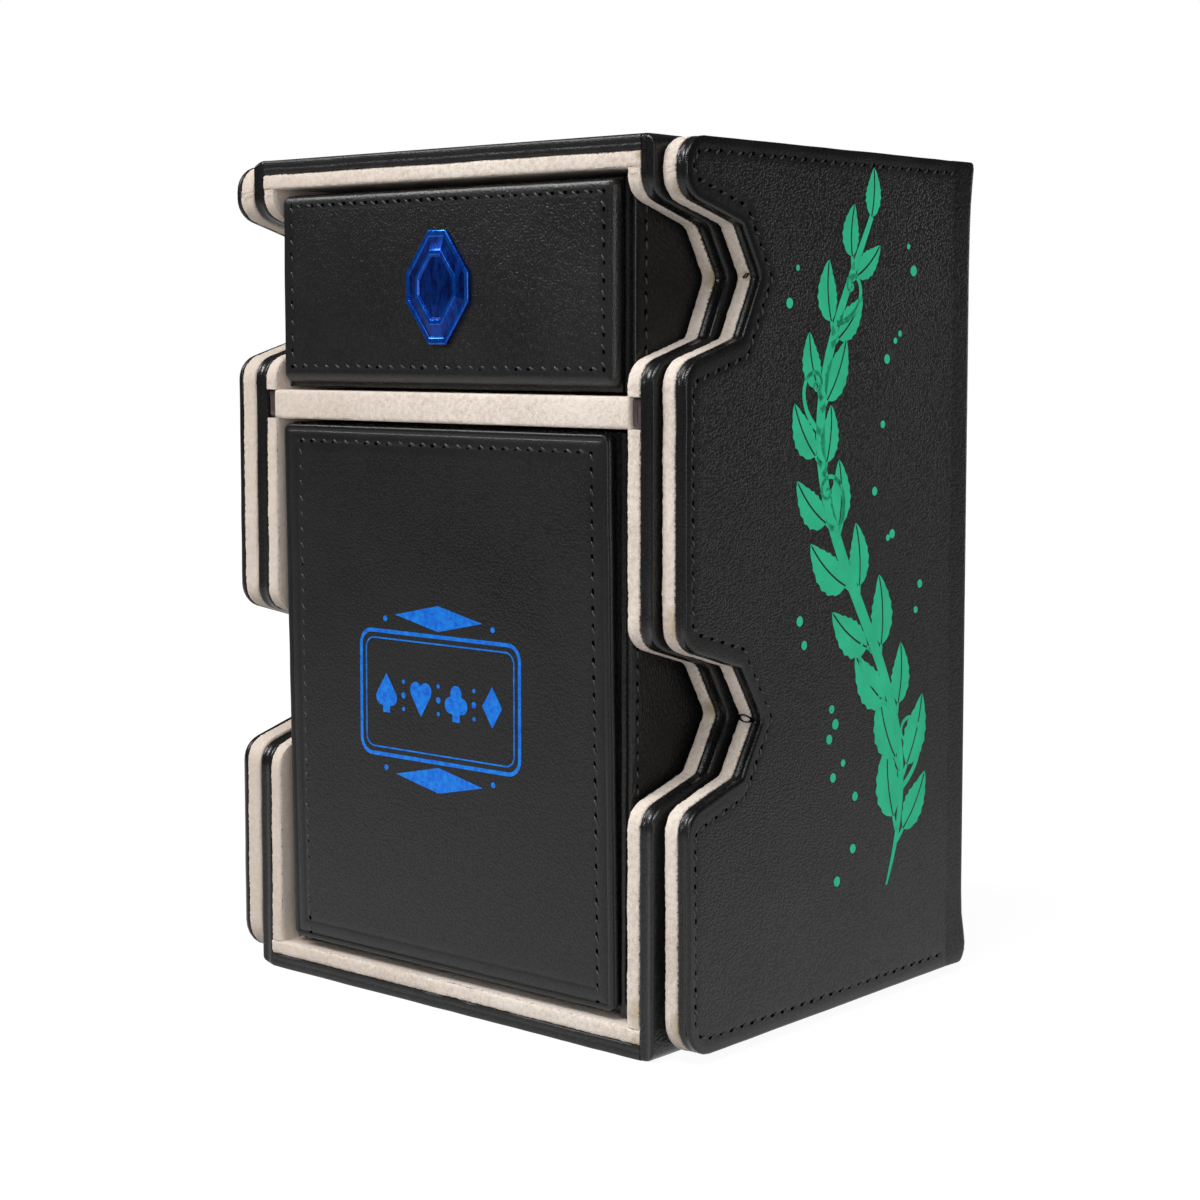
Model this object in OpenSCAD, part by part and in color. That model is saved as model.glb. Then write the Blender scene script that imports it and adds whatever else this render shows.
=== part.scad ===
// Playing card box with two drawers, in a jacket with two side flaps.
//
// The case is five leather-covered boards lined with suede-covered boards, and
// a shelf divides it into a low bay for cards and a flat bay for dice and
// tokens. A drawer slides out of each bay to the front. The jacket is bonded
// to the back of the case, and its two flaps swing on soft leather spines at
// the back corners. Finger notches in case and flaps lay the drawer sides bare.
//
// Millimetres. X runs along the front, Y to the back and Z up. The origin is
// in the middle of the footprint, on the surface that the box stands on.

/* [Bays] */
// Clear width of both bays
bay_w = 90; // [78:1:120]
// Clear depth of both bays, from the front edge to the back lining
bay_d = 79; // [60:1:110]
// Clear height of the lower bay, for sleeved cards that stand upright
lower_bay_h = 104; // [80:1:130]
// Clear height of the upper bay, for dice and tokens
upper_bay_h = 38; // [30:1:70]
// Thickness of the shelf between the bays
shelf_t = 6; // [4:0.5:9]

/* [Walls] */
// Thickness of a leather-covered wall of the case
board_t = 3; // [2.6:0.1:4]
// Thickness of a suede-covered lining board
lining_t = 3; // [2.2:0.1:4]
// Thickness of the leather
leather_t = 0.6; // [0.4:0.1:0.9]
// Radius of the long outer corners of the case
corner_r = 2.4; // [1.2:0.1:3]

/* [Finger notches] */
// Distance from a notch's mouth to the floor or ceiling of the upper bay
notch_land = 4.7; // [4.3:0.1:8]
// Depth at which a notch bends
notch_bend = 15.4; // [10:0.1:20]
// Height by which each side of a notch narrows down to its bend
notch_narrowing = 4.6; // [2:0.1:6]
// Depth of a notch at its point
notch_depth = 20.6; // [20.2:0.1:28]
// Height of a notch above the middle of its bay
notch_rise = 0.5; // [0:0.1:0.5]
// Radius of the shoulders beside a notch
shoulder_r = 5; // [2:0.1:5]
// Radius in the bends of a notch
notch_r = 1.6; // [0.8:0.1:2.2]

/* [Jacket] */
// Gap between the case and the lining of a flap
flap_gap = 1.5; // [0.8:0.1:3]
// Thickness of the leather-covered board of a flap
flap_board_t = 2.5; // [2.3:0.1:4]
// Thickness of the leather-covered board on the back of the case
jacket_back_t = 3; // [2.2:0.1:4]
// Distance from the front of the case to the front edge of a flap
flap_setback = 1.4; // [0:0.1:4]
// Distance from the surface that the box stands on to the jacket
jacket_rise = 1.6; // [0.5:0.1:3]
// Distance from the top of the case down to the top of the jacket
jacket_drop = 0.4; // [0.2:0.1:1]
// Radius of the front corners of a flap
flap_corner_r = 5; // [2:0.1:5.4]
// Radius of the soft spine in a back corner
spine_r = 2.45; // [2:0.05:2.7]
// Gap between a spine and the boards that turn about it
spine_gap = 0.3; // [0.2:0.05:0.6]

/* [Drawers] */
// Thickness of the walls and floor of a drawer
drawer_wall_t = 2.6; // [2.2:0.1:4]
// Thickness of the suede inside a drawer
liner_t = 0.8; // [0.5:0.1:1.5]
// Distance from the top edge of a drawer down to its liner
liner_drop = 1; // [0.5:0.1:4]
// Gap on each side of the upper drawer
upper_side_gap = 0.6; // [0.4:0.1:1.5]
// Gap on each side of the lower drawer
lower_side_gap = 1.4; // [0.4:0.1:2]
// Gap under a drawer
floor_gap = 0.3; // [0.2:0.1:0.8]
// Gap over a drawer
top_gap = 0.6; // [0.4:0.1:1.5]
// Gap behind a drawer
rear_gap = 0.6; // [0.4:0.1:1.5]
// Distance from the front of the case back to the lower drawer's front
lower_recess = 0.8; // [0:0.1:3]
// Thickness of the front panel of a drawer
panel_t = 2.8; // [2.2:0.1:4]
// Distance from the back of a front panel to the drawer's side walls
side_setback = 0.8; // [0.3:0.1:2]
// Width by which a front panel stands short of its drawer on each side
panel_inset = 2.2; // [0:0.1:3]
// Height of a front panel above the floor of its bay
panel_rise = 1.3; // [0.4:0.1:3]
// Distance from the ceiling of a bay down to its front panel
panel_drop = 0.9; // [0.4:0.1:3]
// Radius of the corners of a front panel
panel_corner_r = 1.5; // [0.8:0.1:4]

/* [Magnets] */
// Radius of the magnets and of the steel discs that they hold on to
magnet_r = 5; // [3:0.1:6]
// Thickness of a magnet
magnet_t = 1.5; // [1:0.1:1.6]
// Thickness of a steel disc
keeper_t = 1; // [0.5:0.1:1.6]
// Gap round a disc in its recess
magnet_fit = 0.15; // [0.05:0.05:0.3]
// Distance from the front edge of the case to the discs in its sides
magnet_inset = 11; // [9:0.1:30]

/* [Badge] */
// Width of the diamond badge on the upper drawer
badge_w = 16; // [8:0.5:24]
// Height of the diamond badge
badge_h = 21; // [10:0.5:26]
// Height of the badge's edge off the leather
badge_edge = 0.5; // [0.3:0.1:1]
// Height of the badge's bevelled crown above its edge
badge_crown = 0.7; // [0.3:0.1:1.5]

/* [Hidden] */

LEATHER = [0.15, 0.15, 0.155];
SUEDE = [0.90, 0.85, 0.79];
GREYBOARD = [0.52, 0.47, 0.40];
STEEL = [0.66, 0.67, 0.69];
MAGNET = [0.48, 0.48, 0.50];
FOIL_BLUE = [0.05, 0.25, 0.85];

LEFT = -1;
RIGHT = 1;
ARC_STEPS = 6;
DISC_SIDES = 64;
// How far a cutting solid runs past the face that it cuts
PAST = 1;

// The case, from its bays outward
lined_w = bay_w + 2 * lining_t;
case_w = lined_w + 2 * board_t;
lined_d = bay_d + lining_t;
case_d = lined_d + board_t;
floor_z = board_t;
lower_low = floor_z + lining_t;
lower_high = lower_low + lower_bay_h;
upper_low = lower_high + shelf_t;
upper_high = upper_low + upper_bay_h;
ceiling_z = upper_high + lining_t;
case_h = ceiling_z + board_t;
lower_middle = (lower_low + lower_high) / 2;
upper_middle = (upper_low + upper_high) / 2;
// Both notches have half the upper bay's height, less their land
notch_mouth = upper_bay_h / 2 - notch_land;
notch_waist = notch_mouth - notch_narrowing;
lower_notch_z = lower_middle + notch_rise;
upper_notch_z = upper_middle + notch_rise;

// The jacket
jacket_low = jacket_rise;
jacket_high = case_h - jacket_drop;
flap_inner_x = case_w / 2 + flap_gap;
flap_board_x = flap_inner_x + lining_t;
flap_outer_x = flap_board_x + flap_board_t;
jacket_back_y = case_d + jacket_back_t;
flap_t = lining_t + flap_board_t;
spine_x = flap_outer_x - flap_t / 2;
spine_y = jacket_back_y - flap_t / 2;
spine_clear = spine_r + spine_gap;
flap_back_y = spine_y - spine_clear;
jacket_back_w = 2 * (spine_x - spine_clear);

// Where the discs sit in the sides: beside the shelf, and low at the front
upper_disc_z = (upper_notch_z + lower_notch_z) / 2;
lower_disc_z = (lower_low + lower_notch_z - notch_mouth) / 2;
disc_seats = [
  [magnet_inset, upper_disc_z],
  [magnet_inset, lower_disc_z]
];

// The pockets that the shelf leaves at the two ends of its front edge
pocket_w = 2.4;
pocket_d = 2;

// The badge stands out furthest at the front, the jacket at the back
badge_proud = badge_edge + badge_crown;
overall_d = badge_proud + jacket_back_y;
front_y = badge_proud - overall_d / 2;

// ---- Outlines ---------------------------------------------------------
// An outline is a list of corners, each [across, up, radius], that runs
// anticlockwise round the material.

function flat(p) = [p[0], p[1]];
function unit(v) = v / norm(v);
function left_of(v) = [-v[1], v[0]];
function turns_left(a, b) = a[0] * b[1] - a[1] * b[0] > 0;
function before(p, i) = p[(i + len(p) - 1) % len(p)];
function after(p, i) = p[(i + 1) % len(p)];
function heading_in(p, i) = unit(flat(p[i]) - flat(before(p, i)));
function heading_out(p, i) = unit(flat(after(p, i)) - flat(p[i]));

// One corner of an outline, moved inward by d
function inset_corner(c, a, b, d) =
  let (moved = flat(c) + d * (left_of(a) + left_of(b)) / (1 + a * b))
  [moved[0], moved[1], max(0, turns_left(a, b) ? c[2] - d : c[2] + d)];

function inset(p, d) = [
  for (i = [0:len(p) - 1])
    inset_corner(p[i], heading_in(p, i), heading_out(p, i), d)
];

// The points of one rounded corner, between headings a and b
function corner_points(c, a, b) =
  let (turn = acos(a * b))
  let (side = turns_left(a, b) ? 1 : -1)
  let (start = flat(c) - a * c[2] * tan(turn / 2))
  let (middle = start + side * c[2] * left_of(a))
  let (spoke = start - middle)
  c[2] <= 0 ? [flat(c)] : [
    for (k = [0:ARC_STEPS])
      let (w = side * turn * k / ARC_STEPS)
      middle + [
        spoke[0] * cos(w) - spoke[1] * sin(w),
        spoke[0] * sin(w) + spoke[1] * cos(w)
      ]
  ];

function rounded(p) = [
  for (i = [0:len(p) - 1])
    each corner_points(p[i], heading_in(p, i), heading_out(p, i))
];

function rectangle(x0, x1, z0, z1, r) = [
  [x0, z0, r], [x1, z0, r], [x1, z1, r], [x0, z1, r]
];

// A finger notch in a front edge, from its top shoulder down
function notch(front, z) = [
  [front, z + notch_mouth, shoulder_r],
  [front + notch_bend, z + notch_waist, notch_r],
  [front + notch_depth, z, notch_r],
  [front + notch_bend, z - notch_waist, notch_r],
  [front, z - notch_mouth, shoulder_r]
];

function case_side_outline() = concat(
  [[0, 0, 0], [case_d, 0, 0], [case_d, case_h, 0], [0, case_h, 0]],
  notch(0, upper_notch_z), notch(0, lower_notch_z)
);

function lining_outline(low, high, notch_z) = concat(
  [[0, low, 0], [lined_d, low, 0], [lined_d, high, 0], [0, high, 0]],
  notch(0, notch_z)
);

function flap_outline() = concat(
  [
    [flap_setback, jacket_low, flap_corner_r],
    [flap_back_y, jacket_low, 0],
    [flap_back_y, jacket_high, 0],
    [flap_setback, jacket_high, flap_corner_r]
  ],
  notch(flap_setback, upper_notch_z), notch(flap_setback, lower_notch_z)
);

// ---- Shapes -----------------------------------------------------------

// Moves what is drawn from the front of the case into the part's own frame
module in_place() {
  translate([0, front_y, 0]) children();
}

module on_side(side) {
  if (side == RIGHT) children();
  if (side == LEFT) mirror([1, 0, 0]) children();
}

// A block between two corners
module block(low, high) {
  translate(low) cube(high - low);
}

// A sheet in the YZ plane, from x to x + t
module side_sheet(outline, x, t) {
  translate([x, 0, 0]) rotate([90, 0, 90]) linear_extrude(t) polygon(rounded(outline));
}

// A sheet in the XZ plane, from y to y + t
module front_sheet(outline, y, t) {
  translate([0, y + t, 0]) rotate([90, 0, 0]) linear_extrude(t) polygon(rounded(outline));
}

// The outside of the case, smaller by d all round
module envelope(d) {
  front_sheet(
    rectangle(d - case_w / 2, case_w / 2 - d, d, case_h - d, corner_r - d),
    -PAST, case_d + 2 * PAST
  );
}

// A disc that lies in the YZ plane, from x to x + t
module side_disc(x, t, seat, r) {
  translate([x, seat[0], seat[1]]) rotate([0, 90, 0]) cylinder(h = t, r = r, $fn = DISC_SIDES);
}

// A disc that lies in the XZ plane, from y to y + t
module back_disc(y, t, z, r) {
  translate([0, y + t, z]) rotate([90, 0, 0]) cylinder(h = t, r = r, $fn = DISC_SIDES);
}

// ---- Case -------------------------------------------------------------

// A board of the top or bottom of the case, with its leather
module lid_slab(z) {
  block([-lined_w / 2, 0, z], [lined_w / 2, case_d, z + board_t]);
}

module lid_core(z) {
  block(
    [-lined_w / 2, leather_t, z],
    [lined_w / 2, case_d - leather_t, z + board_t - leather_t]
  );
}

module case_top_cover() {
  color(LEATHER) in_place() difference() {
    lid_slab(ceiling_z);
    block(
      [-lined_w / 2 - PAST, leather_t, ceiling_z - PAST],
      [lined_w / 2 + PAST, case_d - leather_t, case_h - leather_t]
    );
  }
}

module case_top_board() {
  color(GREYBOARD) in_place() lid_core(ceiling_z);
}

module case_bottom_cover() {
  color(LEATHER) in_place() difference() {
    lid_slab(0);
    block(
      [-lined_w / 2 - PAST, leather_t, leather_t],
      [lined_w / 2 + PAST, case_d - leather_t, board_t + PAST]
    );
  }
}

module case_bottom_board() {
  color(GREYBOARD) in_place() lid_core(leather_t);
}

// The board inside a side wall; its leather leaves only the inner face open
module side_core(past) {
  intersection() {
    envelope(leather_t);
    side_sheet(inset(case_side_outline(), leather_t), lined_w / 2 - past, board_t + past);
  }
}

module case_side_cover(side) {
  color(LEATHER) in_place() on_side(side) difference() {
    intersection() {
      envelope(0);
      side_sheet(case_side_outline(), lined_w / 2, board_t);
    }
    side_core(PAST);
  }
}

module case_side_board(side) {
  color(GREYBOARD) in_place() on_side(side) difference() {
    side_core(0);
    for (seat = disc_seats)
      side_disc(lined_w / 2 - PAST, keeper_t + PAST, seat, magnet_r + magnet_fit);
  }
}

module side_keepers(side) {
  color(STEEL) in_place() on_side(side)
    for (seat = disc_seats) side_disc(lined_w / 2, keeper_t, seat, magnet_r);
}

module case_back_cover() {
  color(LEATHER) in_place() block(
    [-lined_w / 2, case_d - leather_t, floor_z],
    [lined_w / 2, case_d, ceiling_z]
  );
}

module case_back_board() {
  color(GREYBOARD) in_place() block(
    [-lined_w / 2, lined_d, floor_z],
    [lined_w / 2, case_d - leather_t, ceiling_z]
  );
}

// ---- Linings and shelf ------------------------------------------------

module flat_lining(z) {
  color(SUEDE) in_place() block([-lined_w / 2, 0, z], [lined_w / 2, lined_d, z + lining_t]);
}

module top_lining() {
  flat_lining(upper_high);
}

module floor_lining() {
  flat_lining(floor_z);
}

module side_lining(side, low, high, notch_z) {
  color(SUEDE) in_place() on_side(side)
    side_sheet(lining_outline(low, high, notch_z), bay_w / 2, lining_t);
}

module back_lining(low, high) {
  color(SUEDE) in_place() difference() {
    block([-bay_w / 2, bay_d, low], [bay_w / 2, lined_d, high]);
    back_disc(lined_d - keeper_t, keeper_t + PAST, (low + high) / 2, magnet_r + magnet_fit);
  }
}

module back_keeper(z) {
  color(STEEL) in_place() back_disc(lined_d - keeper_t, keeper_t, z, magnet_r);
}

module middle_shelf() {
  color(SUEDE) in_place() difference() {
    block([-lined_w / 2, 0, lower_high], [lined_w / 2, lined_d, upper_low]);
    for (side = [LEFT, RIGHT]) on_side(side) block(
      [lined_w / 2 - pocket_w, -PAST, lower_high - PAST],
      [lined_w / 2 + PAST, pocket_d, upper_low + PAST]
    );
  }
}

// ---- Jacket -----------------------------------------------------------

module jacket_back_cover() {
  color(LEATHER) in_place() difference() {
    block(
      [-jacket_back_w / 2, case_d, jacket_low],
      [jacket_back_w / 2, jacket_back_y, jacket_high]
    );
    block(
      [leather_t - jacket_back_w / 2, case_d - PAST, jacket_low + leather_t],
      [jacket_back_w / 2 - leather_t, jacket_back_y - leather_t, jacket_high - leather_t]
    );
  }
}

module jacket_back_board() {
  color(GREYBOARD) in_place() block(
    [leather_t - jacket_back_w / 2, case_d, jacket_low + leather_t],
    [jacket_back_w / 2 - leather_t, jacket_back_y - leather_t, jacket_high - leather_t]
  );
}

module spine(side) {
  color(LEATHER) in_place() on_side(side)
    translate([spine_x, spine_y, jacket_low])
      cylinder(h = jacket_high - jacket_low, r = spine_r, $fn = DISC_SIDES);
}

module flap_core(past) {
  side_sheet(
    inset(flap_outline(), leather_t),
    flap_board_x - past, flap_board_t - leather_t + past
  );
}

module flap_cover(side) {
  color(LEATHER) in_place() on_side(side) difference() {
    side_sheet(flap_outline(), flap_board_x, flap_board_t);
    flap_core(PAST);
  }
}

module flap_board(side) {
  color(GREYBOARD) in_place() on_side(side) difference() {
    flap_core(0);
    for (seat = disc_seats)
      side_disc(flap_board_x - PAST, magnet_t + PAST, seat, magnet_r + magnet_fit);
  }
}

module flap_lining(side) {
  color(SUEDE) in_place() on_side(side) side_sheet(flap_outline(), flap_inner_x, lining_t);
}

module flap_magnets(side) {
  color(MAGNET) in_place() on_side(side)
    for (seat = disc_seats) side_disc(flap_board_x, magnet_t, seat, magnet_r);
}

// ---- Drawers ----------------------------------------------------------
// Each drawer is drawn from the bounds of its bay, its gap at the sides and
// the distance of its front panel behind the front of the case.

function drawer_low(low) = low + floor_gap;
function drawer_high(high) = high - top_gap;
function outer_half(gap) = bay_w / 2 - gap;
function inner_half(gap) = outer_half(gap) - drawer_wall_t;
function wall_y(recess) = recess + panel_t;
drawer_back_y = bay_d - rear_gap;

function panel_outline(low, high, gap) =
  let (half = outer_half(gap) - panel_inset)
  rectangle(-half, half, low + panel_rise, high - panel_drop, panel_corner_r);

module panel_core(low, high, gap, recess, past) {
  front_sheet(
    inset(panel_outline(low, high, gap), leather_t),
    recess + leather_t, panel_t - leather_t + past
  );
}

module front_cover(low, high, gap, recess) {
  color(LEATHER) in_place() difference() {
    front_sheet(panel_outline(low, high, gap), recess, panel_t);
    panel_core(low, high, gap, recess, PAST);
  }
}

module front_board(low, high, gap, recess) {
  color(GREYBOARD) in_place() panel_core(low, high, gap, recess, 0);
}

module front_wall(low, high, gap, recess) {
  color(LEATHER) in_place() block(
    [-inner_half(gap), wall_y(recess), drawer_low(low)],
    [inner_half(gap), wall_y(recess) + drawer_wall_t, drawer_high(high)]
  );
}

module side_wall(side, low, high, gap, recess) {
  color(LEATHER) in_place() on_side(side) block(
    [inner_half(gap), wall_y(recess) + side_setback, drawer_low(low)],
    [outer_half(gap), drawer_back_y, drawer_high(high)]
  );
}

module back_wall(low, high, gap) {
  color(LEATHER) in_place() difference() {
    block(
      [-inner_half(gap), drawer_back_y - drawer_wall_t, drawer_low(low)],
      [inner_half(gap), drawer_back_y, drawer_high(high)]
    );
    back_disc(
      drawer_back_y - drawer_wall_t - PAST, magnet_t + PAST,
      (low + high) / 2, magnet_r + magnet_fit
    );
  }
}

module drawer_floor(low, gap, recess) {
  color(LEATHER) in_place() block(
    [-inner_half(gap), wall_y(recess) + drawer_wall_t, drawer_low(low)],
    [inner_half(gap), drawer_back_y - drawer_wall_t, drawer_low(low) + drawer_wall_t]
  );
}

// The suede tray that is glued into a drawer
module liner(low, high, gap, recess) {
  outside_x = inner_half(gap);
  outside_y0 = wall_y(recess) + drawer_wall_t;
  outside_y1 = drawer_back_y - drawer_wall_t;
  tray_low = drawer_low(low) + drawer_wall_t;
  tray_high = drawer_high(high) - liner_drop;
  color(SUEDE) in_place() difference() {
    block([-outside_x, outside_y0, tray_low], [outside_x, outside_y1, tray_high]);
    block(
      [liner_t - outside_x, outside_y0 + liner_t, tray_low + liner_t],
      [outside_x - liner_t, outside_y1 - liner_t, tray_high + PAST]
    );
  }
}

module drawer_magnet(z) {
  color(MAGNET) in_place() back_disc(drawer_back_y - drawer_wall_t, magnet_t, z, magnet_r);
}

// A diamond with a bevelled crown, stuck on the upper drawer's front
module upper_badge() {
  half_w = badge_w / 2;
  half_h = badge_h / 2;
  crown_share = 0.5;
  color(FOIL_BLUE) in_place() translate([0, 0, upper_middle]) rotate([90, 0, 0]) {
    linear_extrude(badge_edge)
      polygon([[half_w, 0], [0, half_h], [-half_w, 0], [0, -half_h]]);
    translate([0, 0, badge_edge]) linear_extrude(badge_crown, scale = crown_share)
      polygon([[half_w, 0], [0, half_h], [-half_w, 0], [0, -half_h]]);
  }
}

// ---- The nodes --------------------------------------------------------

case_top_cover();
case_top_board();
case_bottom_cover();
case_bottom_board();
case_side_cover(LEFT);  // case_left_cover
case_side_board(LEFT);  // case_left_board
case_side_cover(RIGHT);  // case_right_cover
case_side_board(RIGHT);  // case_right_board
case_back_cover();
case_back_board();

top_lining();
floor_lining();
side_lining(LEFT, upper_low, upper_high, upper_notch_z);  // upper_left_lining
side_lining(RIGHT, upper_low, upper_high, upper_notch_z);  // upper_right_lining
side_lining(LEFT, lower_low, lower_high, lower_notch_z);  // lower_left_lining
side_lining(RIGHT, lower_low, lower_high, lower_notch_z);  // lower_right_lining
back_lining(upper_low, upper_high);  // upper_back_lining
back_lining(lower_low, lower_high);  // lower_back_lining
middle_shelf();

side_keepers(LEFT);  // left_keepers
side_keepers(RIGHT);  // right_keepers
back_keeper(upper_middle);  // upper_keeper
back_keeper(lower_middle);  // lower_keeper

jacket_back_cover();
jacket_back_board();
spine(LEFT);  // left_spine
spine(RIGHT);  // right_spine

front_cover(upper_low, upper_high, upper_side_gap, 0);  // upper_front_cover
front_board(upper_low, upper_high, upper_side_gap, 0);  // upper_front_board
front_wall(upper_low, upper_high, upper_side_gap, 0);  // upper_front_wall
side_wall(LEFT, upper_low, upper_high, upper_side_gap, 0);  // upper_left_wall
side_wall(RIGHT, upper_low, upper_high, upper_side_gap, 0);  // upper_right_wall
back_wall(upper_low, upper_high, upper_side_gap);  // upper_back_wall
drawer_floor(upper_low, upper_side_gap, 0);  // upper_floor
liner(upper_low, upper_high, upper_side_gap, 0);  // upper_liner
drawer_magnet(upper_middle);  // upper_magnet
upper_badge();

front_cover(lower_low, lower_high, lower_side_gap, lower_recess);  // lower_front_cover
front_board(lower_low, lower_high, lower_side_gap, lower_recess);  // lower_front_board
front_wall(lower_low, lower_high, lower_side_gap, lower_recess);  // lower_front_wall
side_wall(LEFT, lower_low, lower_high, lower_side_gap, lower_recess);  // lower_left_wall
side_wall(RIGHT, lower_low, lower_high, lower_side_gap, lower_recess);  // lower_right_wall
back_wall(lower_low, lower_high, lower_side_gap);  // lower_back_wall
drawer_floor(lower_low, lower_side_gap, lower_recess);  // lower_floor
liner(lower_low, lower_high, lower_side_gap, lower_recess);  // lower_liner
drawer_magnet(lower_middle);  // lower_magnet

flap_cover(LEFT);  // left_flap_cover
flap_board(LEFT);  // left_flap_board
flap_lining(LEFT);  // left_flap_lining
flap_magnets(LEFT);  // left_flap_magnets
flap_cover(RIGHT);  // right_flap_cover
flap_board(RIGHT);  // right_flap_board
flap_lining(RIGHT);  // right_flap_lining
flap_magnets(RIGHT);  // right_flap_magnets
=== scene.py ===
import math
import random

import bmesh
import bpy
from mathutils import Matrix, Vector, noise


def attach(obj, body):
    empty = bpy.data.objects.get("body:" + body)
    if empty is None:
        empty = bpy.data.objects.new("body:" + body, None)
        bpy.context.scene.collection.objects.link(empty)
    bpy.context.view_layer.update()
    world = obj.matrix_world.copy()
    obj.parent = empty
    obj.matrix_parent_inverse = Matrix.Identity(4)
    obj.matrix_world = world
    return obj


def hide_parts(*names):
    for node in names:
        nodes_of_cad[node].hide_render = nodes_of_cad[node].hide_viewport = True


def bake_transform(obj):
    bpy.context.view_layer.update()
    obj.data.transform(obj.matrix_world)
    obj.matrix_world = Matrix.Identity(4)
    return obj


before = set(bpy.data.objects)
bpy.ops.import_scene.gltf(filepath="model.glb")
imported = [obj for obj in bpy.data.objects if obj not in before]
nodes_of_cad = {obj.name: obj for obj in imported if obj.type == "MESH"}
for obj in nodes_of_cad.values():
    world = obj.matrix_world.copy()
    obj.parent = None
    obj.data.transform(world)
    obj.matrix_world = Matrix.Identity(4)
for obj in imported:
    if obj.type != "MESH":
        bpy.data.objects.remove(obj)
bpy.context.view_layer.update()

noise.seed_set(1)  # its default seed is the time of day

# ---- Camera, floor and lamps ----
# The camera stands where the photograph was taken from, a little above the
# middle of the box and to its right.
bpy.ops.object.select_all(action="DESELECT")
bpy.ops.object.camera_add(
    location=(0.3048, -0.3509, 0.1255), rotation=(math.pi / 2 - 0.081, 0, 0.7128)
)
camera = bpy.context.object
camera.name = "photo_camera"
camera.data.sensor_width = 36
camera.data.lens = 70.47
camera.data.shift_y = -0.0583
camera.data.clip_start = 0.01
bpy.context.scene.camera = camera
bpy.context.scene.view_settings.view_transform = "Standard"

# The box stands on a white table top that runs out into a white studio.
bpy.ops.mesh.primitive_plane_add(size=6, location=(0, 0, 0))
table_top = bpy.context.object
table_top.name = "table_top"


def feed(tree, node, values):
    """Gives inputs of a node their values. A socket of another node is linked."""
    for key, value in values.items():
        if isinstance(value, bpy.types.NodeSocket):
            tree.links.new(value, node.inputs[key])
        else:
            node.inputs[key].default_value = value


def add_node(tree, kind, values={}, **settings):
    node = tree.nodes.new("ShaderNode" + kind)
    for name, setting in settings.items():
        setattr(node, name, setting)
    feed(tree, node, values)
    return node


def worked_out(tree, operation, *values):
    """The result of a math operation on values and sockets."""
    return add_node(tree, "Math", dict(enumerate(values)), operation=operation).outputs[0]


def spread_value(tree, value, low, high, start=0.0, end=1.0):
    """A value between start and end, spread from low to high."""
    return add_node(tree, "MapRange", {
        "Value": value, "From Min": start, "From Max": end, "To Min": low, "To Max": high,
    }).outputs["Result"]


def mixed_shader(tree, share, first, second):
    return add_node(tree, "MixShader", {0: share, 1: first, 2: second}).outputs[0]


def emptied(owner):
    """The emptied node tree of a material or world, and the kinds of rays in it."""
    owner.use_nodes = True
    owner.node_tree.nodes.clear()
    return owner.node_tree, add_node(owner.node_tree, "LightPath").outputs


table_white = bpy.data.materials.new("table_white")
tree, rays = emptied(table_white)
spot_on_table = add_node(tree, "TexCoord").outputs["Object"]
away = add_node(tree, "VectorMath", {0: spot_on_table}, operation="LENGTH").outputs["Value"]
level = add_node(tree, "Mix", {
    "Factor": rays["Is Camera Ray"],
    "A": spread_value(tree, away, 0.87, 0.1, 0.08, 0.95),
    "B": spread_value(tree, away, 1.34, 1.43, 0.3, 1.5),
})
bright = add_node(tree, "Emission", {"Strength": level.outputs["Result"]})
paper = add_node(tree, "BsdfDiffuse", {"Color": (0.45, 0.45, 0.45, 1)})
either = worked_out(
    tree, "MAXIMUM", worked_out(tree, "MULTIPLY", rays["Is Camera Ray"], 0.7),
    worked_out(tree, "MAXIMUM", rays["Is Glossy Ray"], rays["Is Transmission Ray"]),
)
add_node(tree, "OutputMaterial", {
    "Surface": mixed_shader(tree, either, paper.outputs[0], bright.outputs[0]),
})
table_top.data.materials.append(table_white)

# The studio is white behind the box. What lights it and what the leather
# mirrors is darker.
studio = bpy.data.worlds.new("studio")
bpy.context.scene.world = studio
tree, rays = emptied(studio)
heading = add_node(tree, "TexCoord").outputs["Generated"]
upward = add_node(tree, "SeparateXYZ", {0: heading}).outputs["Z"]
room, mirrored, backdrop = [
    add_node(tree, "Background", {"Color": (1, 1, 1, 1), "Strength": strength}).outputs[0]
    for strength in (0.33, spread_value(tree, upward, 0.08, 0.07, 0.0, 0.2), 1.0)
]
direct = worked_out(tree, "MAXIMUM", rays["Is Camera Ray"], rays["Is Transmission Ray"])
indirect = mixed_shader(tree, rays["Is Glossy Ray"], room, mirrored)
add_node(tree, "OutputWorld", {"Surface": mixed_shader(tree, direct, indirect, backdrop)})
BOX_MIDDLE = Vector((0, 0, 0.08))


def softbox(name, at, size, power):
    """A square lamp that faces the middle of the box."""
    bpy.ops.object.light_add(type="AREA", location=at)
    lamp = bpy.context.object
    lamp.name = name
    lamp.data.shape = "SQUARE"
    lamp.data.size = size
    lamp.data.energy = power
    lamp.rotation_euler = (BOX_MIDDLE - Vector(at)).to_track_quat("-Z", "Y").to_euler()


softbox("overhead", (0.1, -0.6, 1.15), 0.6, 5.6)
softbox("high_left", (-0.71, -0.64, 0.88), 0.4, 7.8)
softbox("front", (0.14, -1.15, 0.52), 0.11, 0.95)
softbox("low_right", (1.0, -0.75, 0.22), 0.45, 2.2)
softbox("low_back", (0.1, 1.0, 0.16), 0.3, 0.8)

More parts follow.
